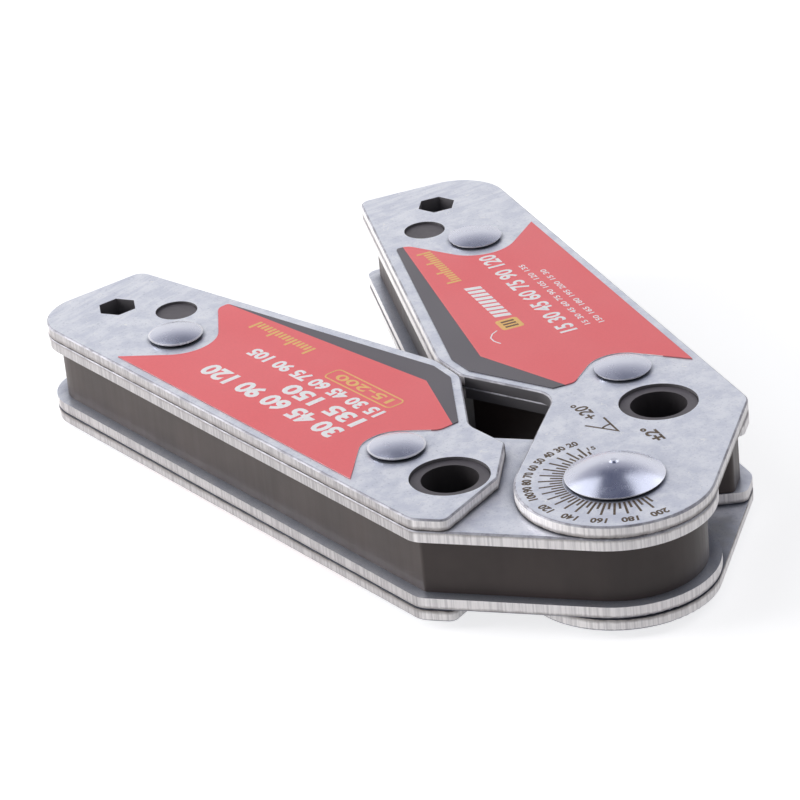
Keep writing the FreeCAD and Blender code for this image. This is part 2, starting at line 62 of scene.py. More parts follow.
def paint(red: float, green: float, blue: float) -> Colour:
    """Turn a colour as a screen shows it into the linear values that shaders take.

    Args:
        red, green, blue: Each channel from 0 to 255.

    Returns:
        The three linear channels. Each is ((c / 255 + 0.055) / 1.055) to the power 2.4.
    """
    shown = np.array([red, green, blue]) / 255.0
    return tuple(float(c) for c in ((shown + 0.055) / 1.055) ** 2.4)


# ---- Places ----


class Face(Enum):
    """The two broad sides of the holder at rest."""

    TOP = "top"
    BOTTOM = "bottom"


@dataclass(frozen=True)
class ArmPlace:
    """Where an arm lies: from the pivot, u runs to its tip and v to its gripping edge.

    Its turn is in degrees, from the holder's x axis to u.
    """

    body: str
    turn: float
    turned_over: bool

    def along(self) -> np.ndarray:
        """Unit vector of u in the holder's frame."""
        angle = np.radians(self.turn)
        return np.array([np.cos(angle), np.sin(angle)])

    def across(self) -> np.ndarray:
        """Unit vector of v: u turned a quarter, the other way when the arm is turned over."""
        x, y = self.along()
        return (-1.0 if self.turned_over else 1.0) * np.array([-y, x])

    def node(self, piece: str) -> bpy.types.Object:
        """The CAD node of one of the arm's pieces."""
        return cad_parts[f"{self.body}_{piece}"]


@dataclass(frozen=True)
class DrawingPlane:
    """A flat place for marks on an arm: x of the drawing follows u, y is chosen to read right."""

    arm: ArmPlace
    face: Face
    level: float

    def handed(self) -> float:
        """Sign that takes the drawing's y to the arm's v, so that marks are never mirrored."""
        return 1.0 if (self.face is Face.TOP) != self.arm.turned_over else -1.0

    def lift(self) -> float:
        """Direction in z in which the plane looks."""
        return 1.0 if self.face is Face.TOP else -1.0

    def place(self, points: np.ndarray, height: float) -> np.ndarray:
        """Put drawing points on the plane.

        Args:
            points: Drawing coordinates, one row each, millimetres.
            height: How far above the plane, millimetres.

        Returns:
            Points in the holder's frame in metres: x times u plus y times v, at the plane's level.
        """
        flat = points[:, :1] * self.arm.along() + self.handed() * points[:, 1:] * self.arm.across()
        z = np.full((len(points), 1), self.level + self.lift() * height * MM)
        return np.hstack([flat * MM, z])


INNER = ArmPlace("inner_arm", 7.9, False)
OUTER = ArmPlace("outer_arm", -7.9, True)


# ---- Flat marks ----

SHARPEST_BEND = 0.4  # least cosine of half a bend for which a band keeps its width
CURVE_STEPS = 3  # straight steps in each curved stretch of a figure
SLIVER = 1e-9  # twice the area of a triangle that is left out, square millimetres


@dataclass
class Marks:
    """A flat drawing: points in millimetres and triangles that turn anticlockwise."""

    points: np.ndarray
    triangles: np.ndarray

    @classmethod
    def of_quads(cls, corners: np.ndarray) -> "Marks":
        """Marks from four-cornered patches.

        Args:
            corners: Array of (patch, corner, coordinate), corners anticlockwise.

        Returns:
            Each patch split along its first diagonal.
        """
        start = 4 * np.arange(len(corners))[:, None, None]
        split = np.array([[0, 1, 2], [0, 2, 3]])
        return cls(corners.reshape(-1, 2), (start + split).reshape(-1, 3))

    @classmethod
    def of_grid(cls, grid: np.ndarray, closed: bool = False) -> "Marks":
        """Marks from a grid of points.

        Args:
            grid: Array of (along, across, coordinate), turning anticlockwise from along to across.
            closed: Whether the last row along joins the first.

        Returns:
            Two triangles for every cell of the grid.
        """
        rows, columns = grid.shape[:2]
        index = np.arange(rows * columns).reshape(rows, columns)
        ahead = np.roll(index, -1, axis=0) if closed else index[1:]
        here = index if closed else index[:-1]
        cells = np.stack([here[:, :-1], ahead[:, :-1], ahead[:, 1:], here[:, 1:]], axis=-1)
        cells = cells.reshape(-1, 4)
        triangles = np.vstack([cells[:, [0, 1, 2]], cells[:, [0, 2, 3]]])
        return cls(grid.reshape(-1, 2), triangles)

    @classmethod
    def joined(cls, parts: list["Marks"]) -> "Marks":
        """All the marks as one drawing."""
        starts = np.cumsum([0] + [len(part.points) for part in parts[:-1]])
        return cls(np.vstack([part.points for part in parts]),
                   np.vstack([part.triangles + start for part, start in zip(parts, starts)]))

    def moved(self, x: float, y: float, turn: float = 0.0) -> "Marks":
        """The marks turned about the origin by degrees, then shifted by x and y."""
        along, aside = np.cos(np.radians(turn)), np.sin(np.radians(turn))
        return Marks(self.points @ [[along, aside], [-aside, along]] + [x, y], self.triangles)


def ticks(angles: np.ndarray, inner: float, outer: float, width: float) -> Marks:
    """Radial lines of a dial.

    Args:
        angles: Direction of each line in degrees.
        inner, outer: Radii of its two ends.
        width: Its width.

    Returns:
        One patch per line: radius times the direction, half the width to each side.
    """
    turn = np.radians(angles)[:, None, None]
    out = np.concatenate([np.cos(turn), np.sin(turn)], axis=2)
    side = np.concatenate([-np.sin(turn), np.cos(turn)], axis=2)
    reach = np.array([inner, outer, outer, inner])[None, :, None]
    half = np.array([-width, -width, width, width])[None, :, None] / 2
    return Marks.of_quads(out * reach + side * half)


def stripes(box: tuple[float, float, float, float], count: int, cover: float, lean: float) -> Marks:
    """A row of equal leaning stripes.

    Args:
        box: Left, foot, right and head of the row.
        count: How many stripes.
        cover: Share of each pitch that a stripe covers.
        lean: How far the head of a stripe lies to the right of its foot.

    Returns:
        One parallelogram per stripe: pitch times its number, sheared by the lean.
    """
    left, foot, right, head = box
    pitch = (right - left - lean) / (count - 1 + cover)
    start = left + pitch * np.arange(count)[:, None]
    x = start + np.array([0.0, cover * pitch, cover * pitch + lean, lean])
    y = np.broadcast_to([foot, foot, head, head], x.shape)
    return Marks.of_quads(np.stack([x, y], axis=-1))


def band(path: np.ndarray, width: float, closed: bool = False) -> Marks:
    """A line of even width along a path.

    Args:
        path: Points of the path in order.
        width: Width of the line.
        closed: Whether the path joins up.

    Returns:
        A grid two points wide: each path point plus and minus half the width along the mean
        normal of its two neighbours, lengthened at bends so that the width stays even.
    """
    if closed:
        step = np.roll(path, -1, axis=0) - path
        before = np.roll(step, 1, axis=0)
    else:
        step = np.diff(path, axis=0)
        before, step = np.vstack([step[:1], step]), np.vstack([step, step[-1:]])
    first = before / np.linalg.norm(before, axis=1, keepdims=True)
    second = step / np.linalg.norm(step, axis=1, keepdims=True)
    mean = first + second
    mean /= np.linalg.norm(mean, axis=1, keepdims=True)
    stretch = 1.0 / np.clip(np.sum(mean * second, axis=1, keepdims=True), SHARPEST_BEND, 1.0)
    normal = np.stack([-mean[:, 1], mean[:, 0]], axis=1) * stretch * width / 2
    return Marks.of_grid(np.stack([path - normal, path + normal], axis=1), closed)


def rounded_box(left: float, foot: float, right: float, head: float, radius: float) -> np.ndarray:
    """Outline of a box with round corners.

    Args:
        left, foot, right, head: Its sides.
        radius: Of its corners.

    Returns:
        Points on a quarter circle about each corner's centre, in order.
    """
    centres = np.array([[right - radius, head - radius], [left + radius, head - radius],
                        [left + radius, foot + radius], [right - radius, foot + radius]])
    quarter = np.linspace(0, np.pi / 2, 7)
    angle = quarter[None, :] + np.pi / 2 * np.arange(4)[:, None]
    arcs = radius * np.stack([np.cos(angle), np.sin(angle)], axis=-1)
    return (centres[:, None, :] + arcs).reshape(-1, 2)


def filled(outline: np.ndarray) -> Marks:
    """A convex patch: a fan of triangles from the outline's first point."""
    second = np.arange(1, len(outline) - 1)
    return Marks(outline, np.stack([np.zeros_like(second), second, second + 1], axis=1))


def numerals(words: str, height: float, widen: float, weight: float) -> Marks:
    """Plain figures from the built-in font, as flat marks centred on the origin.

    Args:
        words: What to write.
        height: Height of a figure.
        widen: Width as a share of the font's own.
        weight: How far the strokes grow, as a share of the height.

    Returns:
        The triangles of the letters' faces.
    """
    curve = bpy.data.curves.new("figures", "FONT")
    curve.body = words
    curve.resolution_u = CURVE_STEPS
    curve.offset = weight
    holder = bpy.data.objects.new("figures", curve)
    mesh = bpy.data.meshes.new_from_object(holder)
    mesh.calc_loop_triangles()
    points = np.empty(3 * len(mesh.vertices), dtype=np.float32)
    mesh.vertices.foreach_get("co", points)
    points = points.reshape(-1, 3)[:, :2].astype(float)
    triangles = np.empty(3 * len(mesh.loop_triangles), dtype=np.int32)
    mesh.loop_triangles.foreach_get("vertices", triangles)
    triangles = triangles.reshape(-1, 3)
    bpy.data.objects.remove(holder)
    bpy.data.meshes.remove(mesh)
    bpy.data.curves.remove(curve)
    low, high = points.min(axis=0), points.max(axis=0)
    points = (points - (low + high) / 2) * height / (high[1] - low[1])
    points[:, 0] *= widen
    corners = points[triangles]
    first, second = corners[:, 1] - corners[:, 0], corners[:, 2] - corners[:, 0]
    turns = first[:, 0] * second[:, 1] - first[:, 1] * second[:, 0]
    triangles[turns < 0] = triangles[turns < 0][:, ::-1]
    return Marks(points, triangles[np.abs(turns) > SLIVER])


def add_object(name: str, data: bpy.types.ID) -> bpy.types.Object:
    """A new object, put into the scene."""
    bpy.context.scene.collection.objects.link(added := bpy.data.objects.new(name, data))
    return added


def add_mesh(name: str, points: np.ndarray, faces: np.ndarray,
             material: Material) -> bpy.types.Object:
    """A new mesh object.

    Args:
        name: Its name.
        points, faces: Its corners in metres and its triangles, one row each.
        material: Its finish.

    Returns:
        The object, in the scene.
    """
    mesh = bpy.data.meshes.new(name)
    mesh.from_pydata(points.tolist(), [], faces.tolist())
    mesh.materials.append(material)
    return add_object(name, mesh)


def raise_marks(name: str, marks: Marks, plane: DrawingPlane, heights: Pair,
                material: Material) -> None:
    """Make a drawing a thin closed solid on a plane.

    The solid is the drawing at two heights, the lower one turned round, and a wall over every
    edge that has a triangle on one side only.

    Args:
        name: Name of the new piece.
        marks: The drawing.
        plane: Where it lies.
        heights: Of its under and upper face over the plane.
        material: Its finish.
    """
    points = np.vstack([plane.place(marks.points, height) for height in reversed(heights)])
    count = len(marks.points)
    upper = marks.triangles
    edges = np.vstack([upper[:, [0, 1]], upper[:, [1, 2]], upper[:, [2, 0]]])
    start, end = edges[~np.isin(edges @ [count, 1], edges @ [1, count])].T
    walls = np.vstack([np.stack([start, start + count, end], axis=1),
                       np.stack([end, start + count, end + count], axis=1)])
    faces = np.vstack([upper, upper[:, ::-1] + count, walls])
    piece = add_mesh(name, points, faces, material)
    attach(piece, plane.arm.body)
    LOG.info("laid %s: %d faces", name, len(faces))


# ---- Finishes ----

MIX_FIRST, MIX_SECOND, MIX_RESULT = 6, 7, 2  # the sockets of a mix node that carry colours


def shade(colour: Colour, factor: float) -> Colour:
    """A colour with every channel times a factor."""
    return tuple(factor * c for c in colour)


@dataclass(frozen=True)
class Pattern:
    """A cloudy pattern: cells per metre along x, y and z, a turn about z in degrees, octaves."""

    density: Triple
    turn: float = 0.0
    detail: float = 3.0
    roughness: float = 0.55


class ShaderTree:
    """The node tree of a material or world, made in plain steps that each give back a socket."""

    def __init__(self, owner: Material | bpy.types.World) -> None:
        """Start with an empty tree.

        Args:
            owner: What the tree belongs to.
        """
        owner.use_nodes = True
        self.tree = owner.node_tree
        self.tree.nodes.clear()

    def feed(self, target: Socket, value: Value) -> None:
        """Link a socket to a target, or set the target to a constant.

        Args:
            target: An input of a node.
            value: A socket, a number, a vector, or a colour where the target takes one.
        """
        if isinstance(value, Socket):
            self.tree.links.new(value, target)
        elif isinstance(value, tuple) and target.type == "RGBA":
            target.default_value = (*value, 1.0)
        else:
            target.default_value = value

    def node(self, kind: str, feeds: dict[str | int, Value] | None = None,
             **settings: str | int) -> bpy.types.Node:
        """Add a node.

        Args:
            kind: Its type, without the ShaderNode before it.
            feeds: What goes into its inputs, by their names or numbers.
            settings: Its properties.

        Returns:
            The node.
        """
        node = self.tree.nodes.new(f"ShaderNode{kind}")
        for name, setting in settings.items():
            setattr(node, name, setting)
        for socket, value in (feeds or {}).items():
            self.feed(node.inputs[socket], value)
        return node

    def calc(self, kind: str, first: Socket | float, second: Socket | float = 0.0) -> Socket:
        """One sum on two numbers."""
        return self.node("Math", {0: first, 1: second}, operation=kind).outputs[0]

    def times(self, first: Socket | float, second: Socket | float) -> Socket:
        """The product of two numbers."""
        return self.calc("MULTIPLY", first, second)

    def plus(self, first: Socket | float, second: Socket | float) -> Socket:
        """The sum of two numbers."""
        return self.calc("ADD", first, second)

    def most(self, *values: Socket) -> Socket:
        """The greatest of several numbers."""
        return reduce(lambda most, value: self.calc("MAXIMUM", most, value), values)

    def mix(self, share: Socket | float, first: Value, second: Value) -> Socket:
        """Colour that goes from the first to the second as the share goes from 0 to 1."""
        feeds = {0: share, MIX_FIRST: first, MIX_SECOND: second}
        return self.node("Mix", feeds, data_type="RGBA").outputs[MIX_RESULT]

    def seen_directly(self) -> Socket:
        """1 for rays from the camera, off gloss or through glass, else 0."""
        path = self.node("LightPath").outputs
        return self.most(*(path[f"Is {kind} Ray"] for kind in ("Camera", "Glossy", "Transmission")))


class Recipe(ShaderTree):
    """A material with one Principled shader and patterns in the solids' own coordinates."""

    def __init__(self, name: str) -> None:
        """Start the material.

        Args:
            name: Its name.
        """
        self.material = bpy.data.materials.new(name)
        super().__init__(self.material)
        self.shader = self.node("BsdfPrincipled")
        self.node("OutputMaterial", {"Surface": self.shader.outputs[0]})
        self.coordinates = self.node("TexCoord").outputs

    def surface(self, **values: Value) -> None:
        """Set inputs of the shader; an underscore in a name stands for a space."""
        for name, value in values.items():
            self.feed(self.shader.inputs[name.replace("_", " ")], value)

    def mapped(self, density: Triple, turn: float = 0.0) -> Socket:
        """Object coordinates for a pattern.

        Args:
            density: Cells of the pattern per metre along each axis.
            turn: Its turn about z in degrees.

        Returns:
            The coordinates, turned back and then multiplied by the density.
        """
        feeds = {"Vector": self.coordinates["Object"], "Scale": tuple(1.0 / d for d in density),
                 "Rotation": (0.0, 0.0, float(np.radians(turn)))}
        return self.node("Mapping", feeds, vector_type="TEXTURE").outputs[0]

    def noise(self, pattern: Pattern, turn: float = 0.0) -> Socket:
        """A cloudy pattern.

        Args:
            pattern: Which one.
            turn: Degrees, on top of its own turn.

        Returns:
            Its value, from 0 to 1.
        """
        feeds = {"Vector": self.mapped(pattern.density, pattern.turn + turn), "Scale": 1.0,
                 "Detail": pattern.detail, "Roughness": pattern.roughness}
        return self.node("TexNoise", feeds).outputs["Fac"]

    def cells(self, density: Triple) -> Socket:
        """Distance to the nearest of scattered points, so many per metre along each axis."""
        feeds = {"Vector": self.mapped(density), "Scale": 1.0}
        return self.node("TexVoronoi", feeds).outputs["Distance"]

    def fade(self, value: Socket, start: float, end: float, low: float = 0.0,
             high: float = 1.0) -> Socket:
        """Smooth step: low below start, high above end."""
        feeds = {"Value": value, "From Min": start, "From Max": end, "To Min": low, "To Max": high}
        return self.node("MapRange", feeds, interpolation_type="SMOOTHSTEP").outputs[0]

    def height_of(self, reading: str) -> Socket:
        """The z of the object coordinates or of the normal in them."""
        return self.node("SeparateXYZ", {0: self.coordinates[reading]}).outputs[2]

    def flatness(self) -> Socket:
        """How far the surface looks up or down: 1 on the broad faces, 0 on the cut edges."""
        return self.calc("ABSOLUTE", self.height_of("Normal"))

    def reach(self, direction: np.ndarray, reading: str = "Object") -> Socket:
        """How far a point, or the surface's normal there, reaches along a level direction.

        Args:
            direction: A unit vector, x and y.
            reading: Object for the point, in metres, or Normal for the normal.

        Returns:
            Its scalar product with the direction.
        """
        feeds = {0: self.coordinates[reading], 1: (*map(float, direction), 0.0)}
        return self.node("VectorMath", feeds, operation="DOT_PRODUCT").outputs["Value"]

    def within(self, arm: ArmPlace, centre: Pair, radius: float) -> Socket:
        """1 inside an upright cylinder, else 0.

        Args:
            arm: The arm in whose u and v the centre is given.
            centre: The cylinder's axis, millimetres.
            radius: Its radius, millimetres.

        Returns:
            Whether the level distance to the axis is less than the radius.
        """
        feeds = {0: self.coordinates["Object"], 1: (1.0, 1.0, 0.0)}
        level = self.node("VectorMath", feeds, operation="MULTIPLY").outputs[0]
        axis = (centre[0] * arm.along() + centre[1] * arm.across()) * MM
        feeds = {0: level, 1: (*map(float, axis), 0.0)}
        far = self.node("VectorMath", feeds, operation="DISTANCE")
        return self.calc("LESS_THAN", far.outputs["Value"], radius * MM)

    def outward(self, level: float) -> Socket:
        """Millimetres beyond a level on either side of the middle plane, the level in mm too."""
        off = self.calc("ABSOLUTE", self.calc("SUBTRACT", self.height_of("Object"), MIDDLE * MM))
        return self.calc("SUBTRACT", self.times(off, 1.0 / MM), level)

    def openness(self, distance: float) -> Socket:
        """1 on open ground, towards 0 in crevices narrower than a distance in metres."""
        feeds = {"Distance": distance}
        return self.node("AmbientOcclusion", feeds, samples=8).outputs["AO"]

    def bump(self, height: Socket, strength: float, depth: float) -> None:
        """Raise the surface by a height pattern, depth in metres."""
        feeds = {"Height": height, "Strength": strength, "Distance": depth}
        self.surface(Normal=self.node("Bump", feeds).outputs[0])


@dataclass(frozen=True)
class ZincSheet:
    """Zinc-plated mild steel sheet: cloudy faces, rolled rims, sheared edges.

    Painted shade darkens the faces towards crevices. The rims carry a painted reflection, darker
    grey than the faces. The edges carry fine upright streaks and an irregular dark joint where two
    sheets meet, and are painted darker where they grip, as painted shade on the long edge that
    faces the key lamp. The walls of the holes and of the window between the arms are black.
    """

    face: Colour = paint(238, 241, 249)
    cloud: Colour = paint(221, 225, 237)
    speck: Colour = paint(178, 184, 198)
    scratch: Colour = paint(255, 255, 255)
    # rims: a painted reflection, darker grey than the faces; the second colour varies it with the
    # clouds
    rim: Colour = paint(180, 180, 188)
    darker_rim_reflection: Colour = paint(138, 137, 144)
    edge: Colour = paint(242, 239, 239)
    streaked: Colour = paint(214, 211, 212)
    # painted shade: the gripping edges are painted darker, so that the long edge facing the key
    # lamp is not too bright
    gripping: Colour = paint(186, 183, 184)
    gripping_shade_streaked: Colour = paint(158, 155, 157)
    torn: Colour = paint(138, 132, 131)
    joint: Colour = paint(52, 49, 50)
    black: Colour = paint(96, 94, 98)
    # painted shade for the faces in crevices, under rivets and along ledges
    painted_crevice_shade: Colour = paint(120, 124, 138)
    clouding: Pattern = Pattern((260, 260, 260), detail=6, roughness=0.72)
    brushing: Pattern = Pattern((1100, 170, 400), turn=12.0, detail=4)
    graining: Pattern = Pattern((2300, 2300, 2300), detail=2)
    streaking: Pattern = Pattern((2600, 2600, 70), detail=2)
    tearing: Pattern = Pattern((520, 520, 800), detail=4, roughness=0.7)
    scratching: Pattern = Pattern((420, 420, 420), turn=40.0, detail=1)
    scratch_patches: Pattern = Pattern((300, 300, 300), detail=2)
    metal: float = 0.75
    edge_metal: float = 0.45
    roughness: float = 0.34
    edge_roughness: float = 0.62
    joint_level: float = 6.85
    crevice: float = 0.005
    squarely: Pair = (0.9, 0.985)
    tip: Pair = (0.094, 0.122)
    holes: tuple[Triple, ...] = (
        (19.4, 16.55, 6.7), (101.0, 10.55, 3.9), (110.0, 16.55, 3.9), (32.0, -2.0, 13.2))

    def faces(self, tree: Recipe, tone: Socket, grain: Socket) -> Socket:
        """Colour of the broad faces.

        Args:
            tree: The material's.
            tone: Where they are cloudy or brushed.
            grain: Where they have specks.

        Returns:
            The cloudy colour with specks, scratches along a pattern's middle value where another
            pattern is high, and painted shade in the crevices.
        """
        face = tree.mix(tree.fade(tone, 0.38, 0.62), self.cloud, self.face)
        face = tree.mix(tree.fade(grain, 0.56, 0.78, 0.0, 0.5), face, self.speck)
        line = tree.noise(self.scratching)
        near = tree.calc("ABSOLUTE", tree.calc("SUBTRACT", line, 0.5))
        patch = tree.fade(tree.noise(self.scratch_patches), 0.54, 0.62)
        scratch = tree.times(tree.fade(near, 0.002, 0.009, 1.0, 0.0), patch)
        face = tree.mix(tree.times(scratch, 0.7), face, self.scratch)
        # painted shade: ambient occlusion darkens the faces towards crevices
        return tree.mix(tree.fade(tree.openness(self.crevice), 0.4, 0.9), self.painted_crevice_shade, face)

    def edges(self, tree: Recipe, arm: ArmPlace, streak: Socket, tear: Socket) -> Socket:
        """Colour of the cut edges.

        Args:
            tree: The material's.
            arm: The arm.
            streak: The upright streaks.
            tear: What makes the joint irregular.

        Returns:
            The streaked colour, painted darker where it grips as painted shade, torn and then dark
            towards the joint, whose width follows the tear pattern, and black in the holes.
        """
        edge = tree.mix(tree.fade(streak, 0.3, 0.62), self.streaked, self.edge)
        # painted shade on the gripping side, mixed in where the edge faces across the arm
        gripping_shade = tree.mix(tree.fade(streak, 0.34, 0.62), self.gripping_shade_streaked, self.gripping)
        gripping = tree.fade(tree.reach(arm.across(), "Normal"), *self.squarely)
        edge = tree.mix(gripping, edge, gripping_shade)
        from_joint = tree.calc("ABSOLUTE", tree.outward(self.joint_level))
        band = tree.plus(from_joint, tree.times(tear, 0.6))
        edge = tree.mix(tree.fade(band, 0.5, 1.15, 0.85, 0.0), edge, self.torn)
        edge = tree.mix(tree.fade(band, 0.4, 0.5, 0.9, 0.0), edge, self.joint)
        holes = tree.most(*(tree.within(arm, (u, v), radius) for u, v, radius in self.holes))
        return tree.mix(holes, edge, self.black)

    def build(self, arm: ArmPlace) -> Material:
        """The finish of one arm's sheets.

        Args:
            arm: The arm, which is brushed across near its tip.

        Returns:
            The material: faces where the surface looks up or down, edges where it looks
            sideways, and rims between them.
        """
        tree = Recipe(f"zinc_{arm.body}")
        cloud, grain, streak, tear = (tree.noise(pattern) for pattern in (
            self.clouding, self.graining, self.streaking, self.tearing))
        upright = tree.flatness()
        flat = tree.fade(upright, *self.squarely)
        tip = tree.fade(tree.reach(arm.along()), *self.tip, 0.12, 0.75)
        tone = tree.plus(tree.times(cloud, tree.calc("SUBTRACT", 1.0, tip)),
                         tree.times(tree.noise(self.brushing, arm.turn), tip))
        # painted reflection on the rims, darker in places where the clouds fall
        rim = tree.mix(tree.fade(cloud, 0.4, 0.6), self.darker_rim_reflection, self.rim)
        edge = self.edges(tree, arm, streak, tear)
        wall = tree.mix(tree.fade(upright, 0.12, 0.4), edge, rim)
        gloss = tree.fade(tone, 0.35, 0.65, self.roughness + 0.06, self.roughness - 0.04)
        tree.surface(
            Base_Color=tree.mix(flat, wall, self.faces(tree, tone, grain)),
            Metallic=tree.fade(flat, 0.0, 1.0, self.edge_metal, self.metal),
            Roughness=tree.most(gloss, tree.fade(flat, 0.0, 1.0, self.edge_roughness, 0.0)))
        sides = tree.times(tree.calc("SUBTRACT", 1.0, flat), tree.plus(streak, tear))
        faces = tree.times(flat, tree.plus(cloud, grain))
        tree.bump(tree.plus(tree.times(sides, 0.35), tree.times(faces, 0.2)), 0.3, 0.0001)
        return tree.material


@dataclass(frozen=True)
class PolishedSteel:
    """Pressed rivet heads: polished, a little blue, with a painted highlight on the rim over a
    painted shadow at the seat.
    """

    name: str
    metal: float
    roughness: float
    rim_metal: float = 0.3
    colour: Colour = paint(210, 213, 227)
    bright: Colour = paint(244, 243, 246)
    seat_shadow: Colour = paint(36, 35, 40)
    dents: Pattern = Pattern((300, 300, 300), detail=4, roughness=0.6)
    sheet_level: float = 8.85

    def build(self) -> Material:
        """The rivets' finish.

        Returns:
            The material, banded by the height over the sheets: a painted shadow at the seat lowest,
            then a painted highlight on the rim's upright walls and on the crest, and the plain
            colour elsewhere.
        """
        tree = Recipe(self.name)
        dent = tree.noise(self.dents)
        lift = tree.outward(self.sheet_level)
        # painted shadow: the lowest band over the sheets, at the seat, is dark
        low = tree.fade(lift, 0.22, 0.4, 1.0, 0.0)
        wall = tree.fade(tree.flatness(), 0.66, 0.74, 1.0, 0.0)
        crest = tree.fade(lift, 0.64, 0.74, 0.6, 0.0)
        # painted highlight: a bright band on the rim's walls and crest
        rim = tree.times(tree.fade(lift, 0.32, 0.42), tree.most(wall, crest))
        tree.surface(
            Base_Color=tree.mix(low, tree.mix(rim, self.colour, self.bright), self.seat_shadow),
            Metallic=tree.fade(tree.most(rim, low), 0.0, 1.0, self.metal, self.rim_metal),
            Roughness=tree.fade(dent, 0.35, 0.7, self.roughness, self.roughness + 0.08))
        tree.bump(dent, 0.05, 0.0001)
        return tree.material


@dataclass(frozen=True)
class MouldedPlastic:
    """Dark moulded plastic: satin, faint upright drag lines, a few nicks.

    The walls keep only their share of the colour, the rest is the nicks' black; on the insert this
    is painted shade inside the bore and round the peg.
    """

    name: str
    colour: Colour = paint(60, 52, 50)
    nick_and_wall_shade: Colour = paint(20, 18, 18)
    drags: Pattern = Pattern((900, 900, 60))
    clouding: Pattern = Pattern((90, 90, 90))
    graining: Pattern = Pattern((5200, 5200, 5200), detail=1)
    nick_and_wall_shade_places: Triple = (60, 60, 27)
    roughness: float = 0.4
    gloss: float = 0.35
    nicks: float = 0.09
    walls: float = 1.0

    def build(self) -> Material:
        """The filling's finish.

        Returns:
            The material: nicks lie where the distance to a scattered point, made uneven by the
                clouds, is less than the nicks' size, and upright walls take the same dark colour as
                painted shade, as far as the walls' share leaves room.
        """
        tree = Recipe(self.name)
        drag, cloud, grain = (tree.noise(pattern) for pattern in (
            self.drags, self.clouding, self.graining))
        spot = tree.plus(tree.cells(self.nick_and_wall_shade_places), tree.times(cloud, 0.06))
        tone = tree.mix(tree.fade(cloud, 0.3, 0.7), shade(self.colour, 0.85),
                        shade(self.colour, 1.15))
        # painted shade: upright walls take the dark nick colour where walls is below 1
        wall = tree.fade(tree.flatness(), 0.4, 0.6, 1.0 - self.walls, 0.0)
        mark = tree.most(tree.calc("LESS_THAN", spot, self.nicks), wall)
        tree.surface(
            Base_Color=tree.mix(mark, tone, self.nick_and_wall_shade), Specular_IOR_Level=self.gloss,
            Roughness=tree.fade(drag, 0.3, 0.75, self.roughness, self.roughness + 0.08))
        height = tree.plus(tree.times(drag, 0.2), tree.times(grain, 0.1))
        tree.bump(tree.calc("SUBTRACT", height, mark), 0.3, 0.0001)
        return tree.material


@dataclass(frozen=True)
class Ferrite:
    """Sintered magnet blocks inside the filling."""

    colour: Colour = paint(52, 50, 50)
    graining: Pattern = Pattern((1800, 1800, 1800), detail=4)
    roughness: float = 0.7

    def build(self) -> Material:
        """The magnets' finish.

        Returns:
            The material, grey and grainy.
        """
        tree = Recipe("ferrite")
        grain = tree.noise(self.graining)
        tone = tree.mix(grain, shade(self.colour, 0.7), shade(self.colour, 1.3))
        tree.surface(Base_Color=tone, Roughness=self.roughness)
        tree.bump(grain, 0.4, 0.0001)
        return tree.material


@dataclass(frozen=True)
class LabelFilm:
    """Printed film: red, with a grey field along the arm's inner edges, pale round the rivets."""

    red: Colour = paint(249, 112, 117)
    grey: Colour = paint(96, 92, 99)
    halo: Colour = paint(246, 236, 237)
    cut: Colour = paint(176, 104, 108)
    dark_cut: Colour = paint(76, 72, 78)
    ripples: Pattern = Pattern((60, 60, 60), detail=2)
    graining: Pattern = Pattern((3000, 3000, 3000), detail=2)
    notches: tuple[Triple, ...] = ((32.5, 16.55, 7.6), (92.5, 16.55, 8.8))
    roughness: float = 0.36

    def build(self, arm: ArmPlace, field: tuple[Pair, ...]) -> Material:
        """The film of one arm.

        Args:
            arm: The arm it lies on.
            field: Three corners of the line where red meets grey, in u and v, millimetres.

        Returns:
            The finish. Grey lies beyond either of the two straight lines through the field's
            three corners, on the side away from the gripping edge.
        """
        tree = Recipe(f"label_film_{arm.body}")
        corners = np.array(field)
        placed = corners[:, :1] * arm.along() + corners[:, 1:] * arm.across()
        shares = []
        for start, end in zip(placed[:-1], placed[1:]):
            step = (end - start) / np.linalg.norm(end - start)
            normal = np.array([-step[1], step[0]])
            normal = normal * np.sign(normal @ -arm.across())
            edge = float(normal @ start * MM)
            shares.append(tree.calc("GREATER_THAN", tree.reach(normal), edge))
        grey = tree.most(*shares)
        ripple, grain = tree.noise(self.ripples), tree.noise(self.graining)
        tint = tree.mix(tree.fade(grain, 0.2, 0.8), shade(self.red, 0.98), shade(self.red, 1.02))
        top = tree.fade(tree.flatness(), 0.4, 0.6)
        side = tree.mix(grey, self.cut, self.dark_cut)
        for u, v, radius in self.notches:
            side = tree.mix(tree.within(arm, (u, v), radius), side, self.halo)
        tree.surface(
            Base_Color=tree.mix(top, side, tree.mix(grey, tint, self.grey)),
            Roughness=tree.fade(ripple, 0.3, 0.7, self.roughness - 0.04, self.roughness + 0.05))
        tree.bump(tree.plus(ripple, tree.times(grain, 0.03)), 0.1, 0.0002)
        return tree.material


@dataclass(frozen=True)
class Ink:
    """A thin layer of print or a burnt mark: one colour, broken by a fine grain."""

    name: str
    colour: Colour
    worn: Colour
    roughness: float = 0.45
    metal: float = 0.0
    graining: Pattern = Pattern((2600, 2600, 2600))

    def build(self) -> Material:
        """The ink's finish.

        Returns:
            The material.
        """
        tree = Recipe(self.name)
        grain = tree.noise(self.graining)
        tree.surface(Base_Color=tree.mix(tree.fade(grain, 0.5, 0.75), self.colour, self.worn),
                     Roughness=self.roughness, Metallic=self.metal)
        tree.bump(grain, 0.15, 0.00005)
        return tree.material


